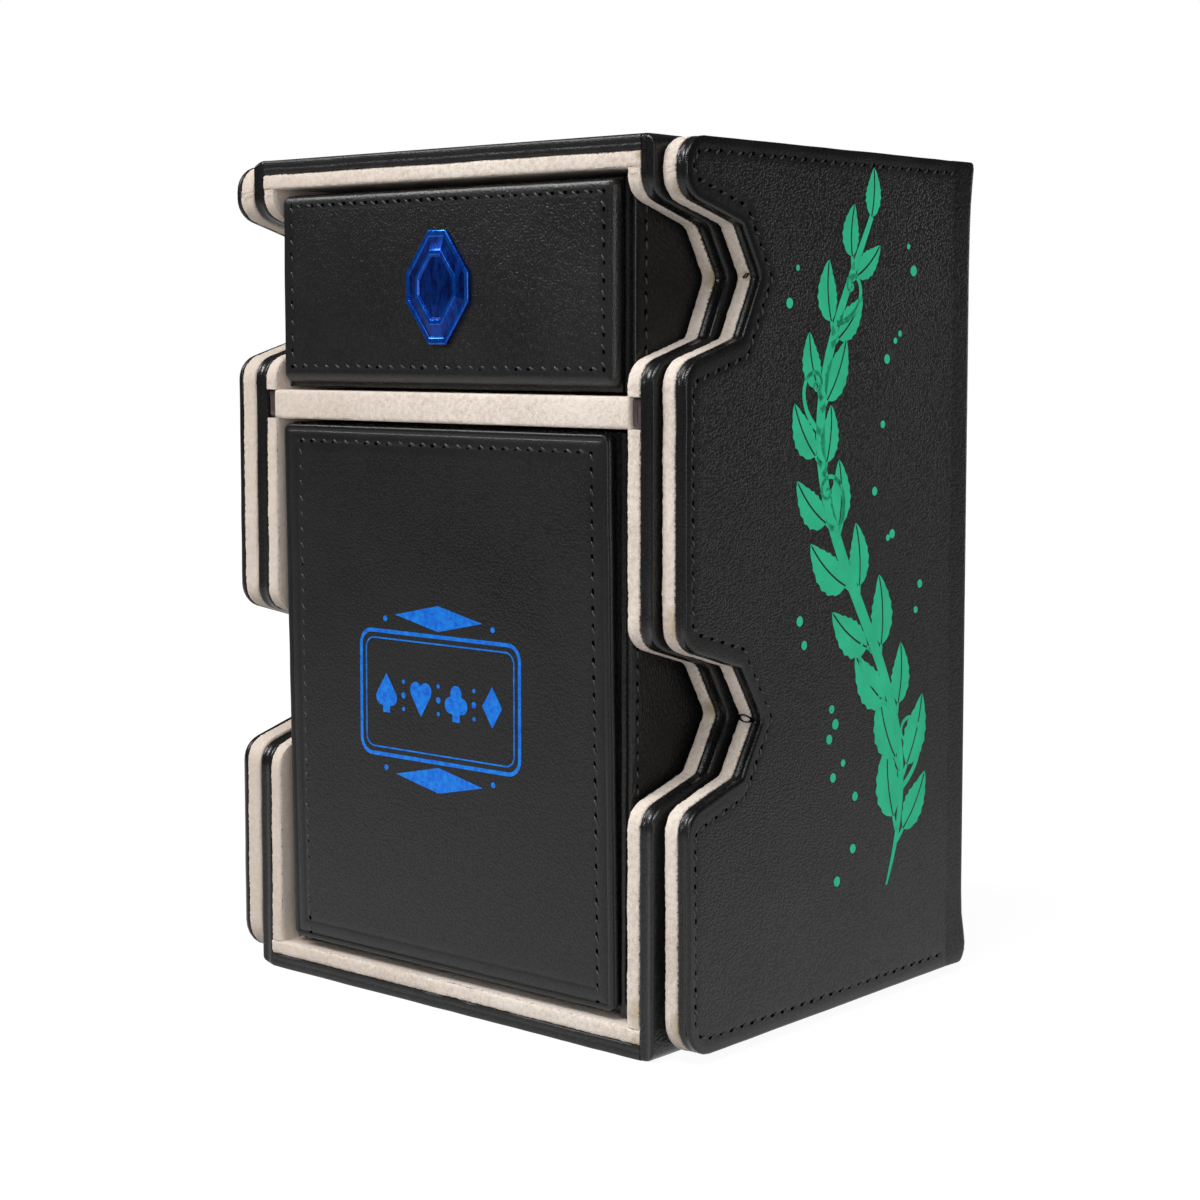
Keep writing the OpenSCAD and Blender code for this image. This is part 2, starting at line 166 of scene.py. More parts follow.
# ---- Leather shell of the case ----
# Four greyboards, each wrapped in black grained leather that is turned over
# the edges, are glued into an open-fronted shell. The sides have two finger
# notches each, and their turned edges show as two rolls with a groove.
CASE_D = 85  # depth of the case
LINING_D = 82  # depth of its linings and shelf
WALL = 3  # thickness of its covered boards
SHELL_X = 48  # from its middle to the inner face of a side board
BAY_X = 45  # from its middle to the side wall of a bay
FRONT_Y = -43.4  # the front of the case in the frame
ARC = 6  # parts of a rounded corner
HANDS = (("right", 1), ("left", -1))


def spot(x, y, z):
    """A point in millimetres, y from the front of the case, in the frame's metres."""
    return Vector((x, y + FRONT_Y, z)) / 1000


def facing(side, at):
    """A plane that faces a side of the box. It turns two distances along the plane
    and a height over it into a point."""
    return {
        "right": lambda u, v, h: spot(at + h, u, v),
        "left": lambda u, v, h: spot(-at - h, u, v),
        "front": lambda u, v, h: spot(u, at - h, v),
        "back": lambda u, v, h: spot(u, at + h, v),
        "top": lambda u, v, h: spot(u, v, at + h),
        "bottom": lambda u, v, h: spot(u, v, at - h),
    }[side]


def moved_corners(corners, moves):
    """The corners of an outline after each side has moved inward by its own move."""
    sides = []
    for (u, v, _), ahead, move in zip(corners, corners[1:] + corners[:1], moves):
        run = Vector((ahead[0] - u, ahead[1] - v)).normalized()
        sides.append((Vector((u, v)) + move * Vector((-run.y, run.x)), run))
    spots = []
    for (p, a), (q, b) in zip(sides[-1:] + sides[:-1], sides):
        gap = q - p
        spots.append(p + a * ((gap.x * b.y - gap.y * b.x) / (a.x * b.y - a.y * b.x)))
    return spots


def rounded_outline(corners, moves, counts, tight=None):
    """The outline's points, and the number of the side or corner that each is on."""
    spots = moved_corners(corners, moves)
    total = len(corners)
    arcs = []
    for i, here in enumerate(spots):
        radius = corners[i][2]
        a = (here - spots[i - 1]).normalized()
        b = (spots[(i + 1) % total] - here).normalized()
        turn = math.atan2(a.x * b.y - a.y * b.x, a.dot(b))
        side = 1 if turn > 0 else -1
        if not radius:
            arcs.append([here])
            continue
        radius = max(0.25, radius - side * (moves[i - 1] + moves[i]) / 2)
        if tight and side < 0:
            radius = tight
        start = here - a * radius * math.tan(abs(turn) / 2)
        middle = start + side * radius * Vector((-a.y, a.x))
        spoke = start - middle
        arcs.append([
            middle + Matrix.Rotation(turn * k / ARC, 2) @ spoke for k in range(ARC + 1)
        ])
    points, owners = [], []
    for i, arc in enumerate(arcs):
        points += arc
        owners += [("corner", i)] * len(arc)
        onward = arcs[(i + 1) % total][0]
        for k in range(1, counts[i]):
            points.append(arc[-1].lerp(onward, k / counts[i]))
            owners.append(("side", i))
    return points, owners


def side_counts(corners, step):
    """How many parts each side is cut into, so that they are about a step long."""
    pairs = zip(corners, corners[1:] + corners[:1])
    return [max(1, round(math.dist(a[:2], b[:2]) / step)) for a, b in pairs]


def slab(x0, x1, y0, y1, r=0):
    """The corners of a rectangle, rounded by r."""
    return [(x0, y0, r), (x1, y0, r), (x1, y1, r), (x0, y1, r)]


def made(operator, name, **arguments):
    """What an add operator makes, under its name and alone in the selection."""
    bpy.ops.object.select_all(action="DESELECT")
    operator(location=(0, 0, 0), **arguments)
    piece = bpy.context.object
    piece.name = piece.data.name = name
    return piece


def lofted(name, rings, closed=False):
    """A disc laid on the first ring and extruded from each ring to the next. A closed
    loft has no ends, and its last ring is its first."""
    piece = made(
        bpy.ops.mesh.primitive_circle_add, name, vertices=len(rings[0]), radius=0.01,
        fill_type="NOTHING" if closed else "NGON",
    )
    for vertex, point in zip(piece.data.vertices, rings[0]):
        vertex.co = point
    bpy.ops.object.mode_set(mode="EDIT")
    bpy.ops.mesh.select_all(action="SELECT")
    for points in rings[1:]:
        bpy.ops.mesh.extrude_region_move()
        shape = bmesh.from_edit_mesh(piece.data)
        for vertex, point in zip([v for v in shape.verts if v.select], points):
            vertex.co = point
    bmesh.update_edit_mesh(piece.data)
    bpy.ops.mesh.select_all(action="SELECT")
    if closed:
        bpy.ops.mesh.remove_doubles(threshold=1e-7)
    bpy.ops.mesh.normals_make_consistent(inside=False)
    bpy.ops.object.mode_set(mode="OBJECT")
    if not closed:
        bpy.ops.object.shade_smooth_by_angle(angle=math.radians(40))
    return piece


def butted(inset, height):
    """A side that meets another board: it stays where it is."""
    return 0.003 * inset


def board(
    name, corners, profile, place, sides={}, step=1.5, sharp=None, shake=0.0, fuzz=0.0,
    glued=False, gloss=1.0,
):
    """A covered board. The profile's (inset, height) pairs run from the middle of its inner face
    round the edge to the middle of its outer face. On a glued lining the attribute glue_line marks
    the rims of both its faces, away from butted sides, for brown glue and painted shade; on leather
    the attribute plain marks where the grain is pulled flat."""
    counts = side_counts(corners, step)
    top = profile[-1][1]
    dice = random.Random(name)
    rings, lines = [], []
    for k, (inset, height) in enumerate(profile):
        moves = [
            sides[i](inset, height) if i in sides else inset for i in range(len(corners))
        ]
        tight = sharp if sharp and inset > 1.9 else None
        points, owners = rounded_outline(corners, moves, counts, tight)
        on_edge = 1 < k < len(profile) - 2
        line = 1 - min(1, max(0, top - height) / 0.9, max(0, height) / 0.45)
        if not glued:
            line = min(gloss, (len(profile) - 1 - k) / 3, 0.75 if inset > 1.1 else 1) if k else 0
        ring = []
        for point, (kind, i) in zip(points, owners):
            still = sides.get(i) is butted
            if kind == "corner":
                still = still or sides.get((i - 1) % len(corners)) is butted
            level = top if still and inset > 1.1 else height
            at = place(point.x, point.y, level)
            if on_edge and shake:
                at += noise.noise_vector(at * 130) * shake / 1000
            if on_edge and fuzz and not still:
                at += Vector([dice.uniform(-fuzz, fuzz) for _ in range(3)]) / 1000
            ring.append(at)
            lines.append(0 if glued and (still or not on_edge) else line)
        rings.append(ring)
    piece = lofted(name, rings)
    marks = piece.data.attributes.new("glue_line" if glued else "plain", "FLOAT", "POINT")
    for mark, line in zip(marks.data, lines):
        mark.value = line
    return piece


def turned_edge(t):
    """Two rolls of leather with a hollow between them, on a board t thick."""
    m = 0.48 * t
    return [
        (1.0, 0), (0.35, 0), (0.1, 0.1), (0, 0.32), (0.04, 0.56), (0.18, 0.8), (0.27, m),
        (0.18, t - 1.0), (0.05, t - 0.74), (0, t - 0.5), (0.07, t - 0.22), (0.25, t - 0.06),
        (0.55, t), (1.05, t),
    ]


def thin_edge(t):
    """One soft roll of leather, drawn round to a thin edge."""
    return [
        (1.0, 0), (0.35, 0), (0.1, 0.1), (0, 0.3), (0.01, 0.5), (0.05, 0.65), (0.1, 0.8),
        (0.18, 0.96), (0.28, 1.12), (0.42, t - 0.52), (0.6, t - 0.34), (0.8, t - 0.18),
        (1.0, t - 0.07), (1.25, t),
    ]


def notches(front, shoulder):
    """The corners of the two finger notches in a front edge, from the top down."""
    spots = []
    for z, lift, deep in ((135.5, 0.8, 20.6), (58.5, 0, 21.3)):
        spots.append([
            (front, z + 14.3, 5), (front + 15.4, z + 9.7, shoulder),
            (front + deep, z + lift, 2), (front + 15.4, z - 9.7, 1.6), (front, z - 14.3, 5),
        ])
    return spots


def wired(name):
    """A new material with its node tree, shader and object coordinates."""
    material = bpy.data.materials.new(name)
    material.use_nodes = True
    tree = material.node_tree
    place = add_node(tree, "TexCoord").outputs["Object"]
    return material, tree, tree.nodes["Principled BSDF"], place


def noise_map(tree, place, scale, detail=2.0, roughness=0.5, output="Fac"):
    return add_node(tree, "TexNoise", {
        "Vector": place, "Scale": scale, "Detail": detail, "Roughness": roughness,
    }).outputs[output]


def stored(tree, name):
    """What the points of a mesh store under a name."""
    return add_node(tree, "Attribute", attribute_name=name).outputs["Fac"]


def sum_up(tree, first, first_share, second, second_share):
    """first * first_share + second * second_share"""
    scaled = worked_out(tree, "MULTIPLY", second, second_share)
    return worked_out(tree, "MULTIPLY_ADD", first, first_share, scaled)


def ramp(tree, value, low, low_colour, high, high_colour):
    spread = add_node(tree, "ValToRGB", {"Fac": value})
    first, last = spread.color_ramp.elements
    first.position, first.color = low, (*low_colour, 1)
    last.position, last.color = high, (*high_colour, 1)
    return spread.outputs["Color"]


def raised(tree, height, shader, strength, distance, under=None):
    bump = add_node(tree, "Bump", {
        "Height": height, "Strength": strength, "Distance": distance,
    })
    if under:
        feed(tree, bump, {"Normal": under})
    if shader:
        feed(tree, shader, {"Normal": bump.outputs["Normal"]})
    return bump.outputs["Normal"]


def pebbled(tree, place, shader, pebble, stretch, strength, fade=None):
    """Pebble grain a given size in millimetres, with creases between the pebbles. It is
    pulled flat where the leather is plain, and fades along a heading in the frame."""
    warp = noise_map(tree, place, 700, output="Color")
    push = add_node(
        tree, "VectorMath", {0: warp, 1: (0.0008, 0.0008, 0.0008), 2: place},
        operation="MULTIPLY_ADD",
    )
    stretched = add_node(tree, "Mapping", {"Vector": push.outputs[0], "Scale": stretch})
    cells = add_node(tree, "TexVoronoi", {
        "Vector": stretched.outputs[0], "Scale": 1000 / pebble, "Randomness": 0.85,
    })
    dome = ramp(tree, cells.outputs["Distance"], 0.12, (1, 1, 1), 0.72, (0, 0, 0))
    height = sum_up(tree, dome, 0.75, noise_map(tree, place, 150), 0.5)
    slow = raised(tree, noise_map(tree, place, 40), None, 0.25, 0.0006)
    plain = stored(tree, "plain")
    share = spread_value(tree, plain, 1.0, 0.15)
    if fade:
        heading, start, end = fade
        along = add_node(tree, "VectorMath", {0: place, 1: heading}, operation="DOT_PRODUCT")
        faded = spread_value(tree, along.outputs["Value"], 0.4, 1.0, start, end)
        share = worked_out(tree, "MULTIPLY", share, faded)
    grain = worked_out(tree, "MULTIPLY", height, share)
    raised(tree, grain, shader, strength, 0.00013, under=slow)
    return dome, plain


def leather(name, pebble, stretch=(1, 1, 1), strength=0.8, satin=0.4, fade=None):
    """Black leather with a satin finish that is a little uneven, and glossier where
    it is plain."""
    tone = 0.006
    material, tree, shader, place = wired(name)
    dome, plain = pebbled(tree, place, shader, pebble, stretch, strength, fade)
    patches = noise_map(tree, place, 60, 3)
    mottled = sum_up(tree, dome, 0.6, patches, 0.5)
    dark = (tone * 0.25, tone * 0.25, tone * 0.26)
    light = (tone * 1.9, tone * 1.9, tone * 1.95)
    rough = worked_out(tree, "ADD", sum_up(tree, patches, 0.16, dome, -0.12), satin)
    polished = spread_value(tree, plain, 0.0, 1.0, 0.75, 1.0)
    feed(tree, shader, {
        "Base Color": ramp(tree, mottled, 0.15, dark, 0.8, light),
        "Roughness": sum_up(tree, rough, 1.0, polished, -0.17),
        "Specular IOR Level": 0.5,
    })
    return material


def dressed(piece, material, body, *hidden, slot="leather_black"):
    """Gives a finished piece its material and its body, and hides the CAD parts that it stands for.
    The slot is not used.
    """
    piece.data.materials.clear()
    piece.data.materials.append(material)
    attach(piece, body)
    if hidden:
        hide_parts(*hidden)
    return piece


def finish_node(name, material):
    """A piece that keeps its CAD shape gets a material of its own."""
    nodes_of_cad[name].data.materials.clear()
    nodes_of_cad[name].data.materials.append(material)


# The long outer corners of the case are rounded by 2.3 mm.
case_leather = leather("case_leather", 0.55)
upper_notch, lower_notch = notches(0, 4)
side_corners = [
    (0, 0, 0.9), (CASE_D, 0, 0), (CASE_D, 160.3, 0), (0, 160.3, 0.9), *upper_notch, *lower_notch,
]


def long_corner(inset, height):
    rise = min(2.3, height - 0.7)
    if rise < 0:
        return 0.003 * inset
    return 2.3 - math.sqrt(2.3 ** 2 - rise ** 2) + max(0, inset - 0.5)


for hand, sign in HANDS:
    side = board(
        f"case_{hand}_leather", side_corners, turned_edge(WALL), facing(hand, SHELL_X),
        {0: long_corner, 2: long_corner}, shake=0.07,
    )
    dressed(side, case_leather, "case", f"case_{hand}_cover", f"case_{hand}_board")


def folded_edge(t):
    """The edge of the top and the bottom: the leather is glued down flat over it,
    with only a faint line where it was turned."""
    return [
        (1.0, 0), (0.38, 0), (0.12, 0.1), (0, 0.36), (0, 0.8), (0.02, 1.1), (0.07, 1.24),
        (0.02, 1.4), (0, 1.8), (0, t - 0.6), (0.1, t - 0.28), (0.3, t - 0.08), (0.6, t),
        (1.05, t),
    ]


lid_corners = slab(-SHELL_X, SHELL_X, 0, CASE_D)
for level, at in (("top", 157.5), ("bottom", 2.75)):
    lid = board(
        f"case_{level}_leather", lid_corners, folded_edge(2.75), facing(level, at),
        {1: butted, 3: butted}, shake=0.12, gloss=0.6,
    )
    dressed(lid, case_leather, "case", f"case_{level}_cover")
finish_node("case_back_cover", case_leather)

# ---- Greyboard cores ----
# Every leather piece has a core of grey bookbinder's board, cut to shape and
# hidden by its cover. Its fibres show only where a disc is let into it.


def grained(
    name, grain, stops, rough, relief=None, fleck=None, drawn=None, pebble=None, more={}
):
    """A material whose colour, roughness and relief follow one noise. Its colour can
    have a share of a second noise, and drawn stretches the noises along an axis."""
    material, tree, shader, place = wired(name)
    if drawn:
        place = add_node(tree, "Mapping", {"Vector": place, "Scale": drawn}).outputs[0]
    mottled = texture = noise_map(tree, place, *grain)
    if fleck:
        scale, share = fleck
        mottled = sum_up(tree, texture, 1 - share, noise_map(tree, place, scale), share)
    if isinstance(rough, tuple):
        rough = spread_value(tree, texture, *rough)
    feed(tree, shader, {"Base Color": ramp(tree, mottled, *stops), "Roughness": rough, **more})
    if relief:
        raised(tree, texture, shader, *relief)
    if pebble:
        pebbled(tree, place, shader, *pebble)
    return material


greyboard = grained(
    "greyboard", (900, 4, 0.7), (0.3, (0.2, 0.16, 0.12), 0.7, (0.36, 0.31, 0.25)), 0.9,
    (0.4, 0.0002), fleck=(260, 0.4),
)
for name in nodes_of_cad:
    if name.endswith("_board"):
        finish_node(name, greyboard)

# ---- Suede linings and shelf ----
# Boards three millimetres thick, wrapped in beige suede with a short nap and glued inside the
# shell. Brown glue and painted shade show in the joint lines, and painted shade darkens the suede
# towards the left of the box.


def blended(tree, share, under, over):
    """A colour that goes from under to over as its share grows."""
    return add_node(
        tree, "Mix", {"Factor": share, "A": under, "B": (*over, 1)}, data_type="RGBA"
    ).outputs["Result"]


def suede(name, tone, shade):
    """Short-napped suede: mottled, with a fine nap, and dark brown along its joints, partly glue
    and partly painted shade. Painted shade also darkens it towards the left of the box.
    """
    material, tree, shader, place = wired(name)
    nap = noise_map(tree, place, 3000, 3, 0.7)
    clumps = noise_map(tree, place, 1100, 2, 0.6)
    strokes = noise_map(tree, place, 60, 3)
    ragged = noise_map(tree, place, 2400)
    worn = noise_map(tree, place, 90)
    fine = sum_up(tree, nap, 0.5, clumps, 0.5)
    cloth = ramp(tree, sum_up(tree, fine, 0.72, strokes, 0.28), 0.37, shade, 0.57, tone)
    # Painted shade: towards the left of the box the suede is mixed up to 60 percent towards its
    # darker tone.
    across_box = add_node(tree, "SeparateXYZ", {0: place}).outputs["X"]
    shaded_to_left = blended(tree, spread_value(tree, across_box, 0.6, 0.0, -0.05, 0.0), cloth, shade)
    fringe = sum_up(tree, ragged, 0.8, worn, 0.5)
    edge = sum_up(tree, stored(tree, "glue_line"), 1.0, fringe, 1.0)
    # Dark brown along the joint lines: partly glue, partly painted shade.
    glue_and_shade_share = spread_value(tree, edge, 0.0, 1.0, 1.4, 1.7)
    glued = blended(tree, glue_and_shade_share, shaded_to_left, (0.04, 0.016, 0.01))
    soaked = sum_up(tree, stored(tree, "stain"), 1.5, worn, -0.8)
    blotched = blended(tree, spread_value(tree, soaked, 0.0, 0.85), glued, (0.36, 0.27, 0.13))
    feed(tree, shader, {
        "Base Color": blotched, "Roughness": 0.95, "Specular IOR Level": 0.12,
        "Sheen Weight": 0.12, "Sheen Roughness": 0.5, "Sheen Tint": (0.95, 0.88, 0.8, 1),
    })
    raised(tree, fine, shader, 0.6, 0.0003)
    return material


def suede_edge(t):
    """The soft round edge of a suede-covered board t thick."""
    return [
        (1.0, 0), (0.62, 0), (0.34, 0.06), (0.14, 0.2), (0.03, 0.46), (-0.02, 0.85),
        (-0.03, 0.5 * t), (-0.02, t - 0.85), (0.03, t - 0.46), (0.14, t - 0.2),
        (0.34, t - 0.06), (0.62, t), (1.0, t),
    ]


def stained(piece, *spots):
    """Marks where glue has soaked into the suede, round spots in millimetres."""
    marks = piece.data.attributes.new("stain", "FLOAT", "POINT")
    for vertex, mark in zip(piece.data.vertices, marks.data):
        for at, radius, strength in spots:
            far = (vertex.co - spot(*at)).length * 1000 / radius
            mark.value = max(mark.value, strength * max(0, 1 - far ** 2))


def rounded_end(inset, height):
    return max(0, 0.55 * inset)


beige_suede = suede("beige_suede", (0.88, 0.785, 0.7), (0.62, 0.52, 0.44))
plate_corners = slab(-SHELL_X, SHELL_X, 0, LINING_D)
for name, side, at in (("top_lining", "top", 154.6), ("floor_lining", "bottom", 5.6)):
    lining = board(
        f"{name}_suede", plate_corners, suede_edge(2.88), facing(side, at),
        {1: rounded_end, 3: rounded_end}, step=0.55, shake=0.1, fuzz=0.07, glued=True,
    )
    stained(lining, ((47.9, 0.2, 156.8), 1.6, 0.8), ((47.6, 0.2, 3.2), 2.6, 0.6))
    dressed(lining, beige_suede, "case", name, slot="suede_beige")

for row, low, high, cut in (
    ("upper", 115.7, 154.6, upper_notch), ("lower", 5.6, 110.1, lower_notch),
):
    wall_corners = slab(0, LINING_D, low, high) + cut
    for hand, sign in HANDS:
        lining = board(
            f"{row}_{hand}_lining_suede", wall_corners, suede_edge(3), facing(hand, BAY_X),
            {0: butted, 2: butted}, step=0.55, shake=0.12, fuzz=0.07, glued=True,
        )
        stained(
            lining, ((47.8, 20.6, 136.2), 3, 0.9), ((47.8, 21.2, 60), 3.2, 0.9),
            ((48.2, 0.2, 8.5), 4, 0.75),
        )
        dressed(lining, beige_suede, "case", f"{row}_{hand}_lining", slot="suede_beige")

shelf_corners = [
    (-45.6, 0, 0.5), (45.6, 0, 0.5), (45.6, 2, 0), (SHELL_X, 2, 0), (SHELL_X, LINING_D, 0),
    (-SHELL_X, LINING_D, 0), (-SHELL_X, 2, 0), (-45.6, 2, 0),
]
shelf = board(
    "middle_shelf_suede", shelf_corners, suede_edge(5.6), facing("top", 110.1),
    {side: butted for side in (1, 2, 3, 5, 6, 7)}, step=0.55, shake=0.12, fuzz=0.055,
)
dressed(shelf, beige_suede, "case", "middle_shelf", slot="suede_beige")
finish_node("upper_back_lining", beige_suede)
finish_node("lower_back_lining", beige_suede)

# The pocket at each end of the shelf is filled with a mottled dark brown plug, painted shade of the
# gap there.
glue_brown = grained(
    "glue_brown", (900, 4, 0.65), (0.4, (0.05, 0.033, 0.04), 0.72, (0.16, 0.1, 0.06)),
    (0.5, 0.9), (0.8, 0.0004), fleck=(420, 0.5),
)
for hand, sign in HANDS:
    pocket = ((45.75, 110.3), (47.95, 110.3), (47.95, 115.5), (45.75, 115.5))
    plug = board(
        f"{hand}_shelf_glue", [(sign * x, z, 0.5) for x, z in pocket][::sign],
        [(0.5, 0), (0.1, 0.05), (0, 0.4), (0, 0.9), (0.15, 1.15), (0.5, 1.25), (0.9, 1.2)],
        facing("front", 1.95), step=0.5, shake=0.5,
    )
    dressed(plug, glue_brown, "case", slot="greyboard")

# ---- Steel discs ----
# Thin plated steel discs, let into the side boards and behind the back
# linings, that the magnets hold on to.
plated = grained(
    "plated_steel", (2200, 3, 0.7), (0.3, (0.42, 0.43, 0.45), 0.7, (0.62, 0.63, 0.65)),
    (0.22, 0.42), (0.1, 0.00005), more={"Metallic": 1.0},
)
for name in nodes_of_cad:
    if "keeper" in name or "magnet" in name:
        finish_node(name, plated)

# ---- Back of the jacket ----
# A leather-covered board bonded to the back of the case. One hide runs from
# flap to flap over it, hemmed and stitched along the top and the bottom.


def hemmed_face(t, seam_in=2.5, crease=False):
    """A turned edge, then the hem and the hollow that the seam pulls in."""
    fold = [(1.3, t - 0.13), (1.55, t - 0.01)] if crease else [(1.5, t + 0.01)]
    edge = turned_edge(t) if t > 2 else thin_edge(t)
    return edge + fold + [
        (seam_in - 0.5, t), (seam_in - 0.2, t - 0.04), (seam_in, t - 0.08),
        (seam_in + 0.25, t - 0.05), (seam_in + 0.6, t - 0.01), (seam_in + 1.2, t),
        (seam_in + 1.8, t),
    ]


JACKET_LOW, JACKET_HIGH = 1.6, 159.8
FLAP_IN = 52.5  # from the middle to the inside of a flap
FLAP_BACK = 82.5  # where a flap ends and its spine begins
JACKET_Y = 88  # the outside of the jacket's back


def hem(shift, width=1.45):
    """A side whose hem is shifted inwards, more and more over a width of the board."""
    return lambda inset, height: inset + shift * min(1, max(0, (inset - 1.05) / width))


top_hem, bottom_hem = hem(-0.1, 1), hem(0.4, 1)
jacket_leather = leather(
    "jacket_leather", 0.5, (1, 0.8, 1.1), 0.9, 0.41, fade=((0, -1, 1), -0.02, 0.16)
)
back_corners = slab(-FLAP_IN, FLAP_IN, JACKET_LOW, JACKET_HIGH)
jacket_back = board(
    "jacket_back_leather", back_corners, hemmed_face(3), facing("back", CASE_D),
    {0: bottom_hem, 1: butted, 2: top_hem, 3: butted}, shake=0.05,
)
dressed(jacket_back, jacket_leather, "case", "jacket_back_cover")

# ---- Spines ----
# At each back corner the hide bends round with suede glued to its inside and
# no board in it, so that the flap swings on it.
spine_corners = [
    (58, FLAP_BACK, 0), (58.4, 88.95, 1.5), (FLAP_IN, JACKET_Y, 0), (FLAP_IN, 86.8, 0),
    (56.8, 86.8, 1.4), (56.8, FLAP_BACK, 0),
]
spine_profile = [
    (0.55, 0), (0.45, 0.02), (0.3, 0.1), (0.1, 0.4), (0, 1.1), (0, 2.4), (0, 4), (0, 6.5),
    (0, 10), (0, 15), (0, 40), (0, 79), (0, 118), (0, 138), (0, 145), (0, 150), (0, 154.5),
    (0, 156.8), (0.05, 157.7), (0.2, 158.1), (0.5, 158.2),
]
flare = [
    (0, 0), (0.4, 0.1), (1.1, 0.25), (2.4, 0.5), (4, 0.58), (6.5, 0.4), (10, 0.1), (15, 0),
    (138, 0), (145, 0.06), (150, 0.16), (154.5, 0.36), (156.8, 0.5), (157.7, 0.45), (158.2, 0.3),
]


def inner_face(inset, height):
    return 0.3 * max(0, inset)


def bends(piece):
    """Bakes a piece's placement into its mesh, where it stays, on the bend between the case and a
    flap.
    """
    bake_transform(piece)


for hand, sign in HANDS:
    spine = board(
        f"{hand}_spine_leather", spine_corners, spine_profile,
        lambda u, v, h: spot(sign * u, v, JACKET_LOW + h),
        {2: butted, 3: inner_face, 4: inner_face, 5: butted}, step=0.45, gloss=0,
    )
    for vertex in spine.data.vertices:
        x, y = sign * vertex.co.x * 1000, vertex.co.y * 1000 - FRONT_Y
        z = vertex.co.z * 1000 - JACKET_LOW
        for (z0, f0), (z1, f1) in zip(flare, flare[1:]):
            if z0 <= z <= z1:
                out = f0 + (f1 - f0) * (z - z0) / (z1 - z0)
                out *= min(1, max(0, (y - FLAP_BACK) / 5))
                out *= min(1, max(0, (x - FLAP_IN) / 5))
                vertex.co += Vector((sign * out, out, 0)) / 1000
    spine.data.materials.append(jacket_leather)
    spine.data.materials.append(beige_suede)
    for face in spine.data.polygons:
        x, y = sign * face.center.x * 1000, face.center.y * 1000 - FRONT_Y
        inside = -sign * face.normal.x - face.normal.y
        face.material_index = 1 if inside > 0.5 and x < 57.2 and y < 87.2 else 0
    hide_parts(f"{hand}_spine")
    bends(spine)

# ---- Flaps ----
# Each flap is a leather-covered board with a suede-covered board glued inside it, cut with the same
# finger notches as the case and stitched all round. The magnets pull the right flap's free edge a
# little towards the case.


def drawn_in(piece):
    """The soft set of a flap: its front edge lies up to a millimetre further in."""
    for vertex in piece.data.vertices:
        y, z = vertex.co.y * 1000 - FRONT_Y, vertex.co.z * 1000
        t = min(1, max(0, (z - 15) / 75))
        set_in = 0.95 * max(0, 1 - y / FLAP_BACK) * t * t * (3 - 2 * t)
        vertex.co.x -= math.copysign(set_in / 1000, vertex.co.x)


def sliced_faces(piece):
    """Cuts the flap's two large faces into cells, so that they can take its set."""
    bpy.ops.object.select_all(action="DESELECT")
    piece.select_set(True)
    bpy.context.view_layer.objects.active = piece
    bpy.ops.object.mode_set(mode="EDIT")
    for axis, start, pitch, count in ((1, 7.13, 6.07, 13), (2, 7.37, 6.03, 25)):
        for cut in [start + pitch * k for k in range(count)]:
            normal = [0, 0, 0]
            normal[axis] = 1
            bpy.ops.mesh.select_all(action="DESELECT")
            shape = bmesh.from_edit_mesh(piece.data)
            for face in shape.faces:
                if abs(face.normal.x) > 0.999 and face.calc_area() > 5e-6:
                    face.select_set(True)
            bmesh.update_edit_mesh(piece.data)
            bpy.ops.mesh.bisect(
                plane_co=spot(0, cut, 0) if axis == 1 else spot(0, 0, cut), plane_no=normal
            )
    bpy.ops.object.mode_set(mode="OBJECT")


flap_notches = notches(1.4, 1.6)
flap_corners = [
    (1.4, JACKET_LOW, 6), (FLAP_BACK, JACKET_LOW, 0), (FLAP_BACK, JACKET_HIGH, 0),
    (1.4, JACKET_HIGH, 5), *flap_notches[0], *flap_notches[1],
]
front_hem, ramp_hem, deep_hem = hem(-0.75), hem(0.8), hem(-0.45)
flap_sides = {
    0: bottom_hem, 1: butted, 2: top_hem, 3: front_hem, 4: ramp_hem, 7: ramp_hem, 8: front_hem,
    9: ramp_hem, 10: deep_hem, 11: deep_hem, 12: ramp_hem, 13: front_hem,
}
for hand, leather_x, leather_t, suede_t in (("right", 55.5, 2.5, 3), ("left", 56.6, 1.9, 4.1)):
    cover = board(
        f"{hand}_flap_leather", flap_corners, hemmed_face(leather_t), facing(hand, leather_x),
        flap_sides, sharp=0.5, shake=0.07,
    )
    lining = board(
        f"{hand}_flap_suede", flap_corners, suede_edge(suede_t), facing(hand, FLAP_IN),
        {1: butted}, step=0.55, shake=0.12, fuzz=0.07, glued=True,
    )
    stained(
        lining, ((56.4, 1.2, 149.5), 4, 1.0), ((56.2, 1.4, 77), 5, 0.8),
        ((54.8, 21.9, 136.6), 1.4, 0.8), ((56.6, 1.8, 7), 4.5, 0.8),
    )
    if hand == "right":
        for piece in (cover, lining):
            sliced_faces(piece)
            drawn_in(piece)
    flap = f"{hand}_flap"
    dressed(cover, jacket_leather, flap, f"{flap}_cover", f"{flap}_board")
    dressed(lining, beige_suede, flap, f"{flap}_lining", slot="suede_beige")

# The seam: black waxed thread, three millimetres a stitch, that dips into a
# punched hole at each end and lies at a slant between them.
thread_black = grained(
    "thread_black", (4200,), (0.3, (0.012, 0.012, 0.013), 0.7, (0.075, 0.075, 0.078)),
    (0.22, 0.45), (0.4, 0.0001),
)
# Each punched hole is a flat black disc without reflection lying on the leather: painted shade of
# the hole.
hole_shade_black = grained(
    "hole_shade_black", (3000,), (0.3, (0.0005, 0.0005, 0.0005), 0.8, (0.003, 0.003, 0.003)),
    1.0, (0.5, 0.0001), more={"Specular IOR Level": 0.0},
)


